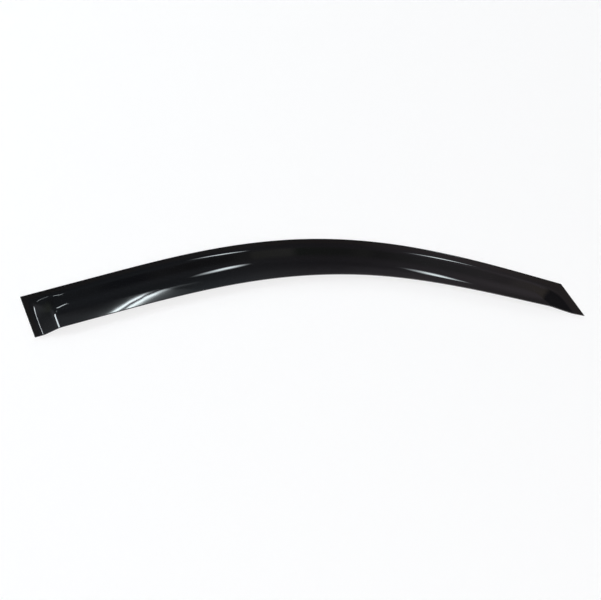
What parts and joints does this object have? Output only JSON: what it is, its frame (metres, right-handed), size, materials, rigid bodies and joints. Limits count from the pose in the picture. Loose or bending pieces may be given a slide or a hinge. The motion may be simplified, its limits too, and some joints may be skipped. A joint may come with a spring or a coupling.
{
  "type": "window rain deflector",
  "caption": "Arched smoke-black door window rain deflector: thin moulded visor with a flat taped flange, sloping walls, crowned face and free lower edge.",
  "frame": {"origin": "middle of the outline, on the surface that the deflector lies on with its mounting side down", "axes": "+X along the deflector from its square rear end to its pointed front tip, +Y towards the arched top edge, +Z out of the face, away from the door"},
  "size_m": [1, 0.1876, 0.0231],
  "materials": {
    "smoke_plastic": "polished dark smoke acrylic, black where nothing bright lies behind it",
    "foam_tape": "dark grey closed-cell acrylic foam, matt, with fine cut edges",
    "release_film": "thin red release film, satin, lightly creased"
  },
  "bodies": {
    "root": {"visor": "smoke_plastic", "upper_tape": "foam_tape", "rear_tape": "foam_tape", "front_tape": "foam_tape", "upper_film": "release_film", "rear_film": "release_film", "front_film": "release_film"}
  },
  "joints": []
}
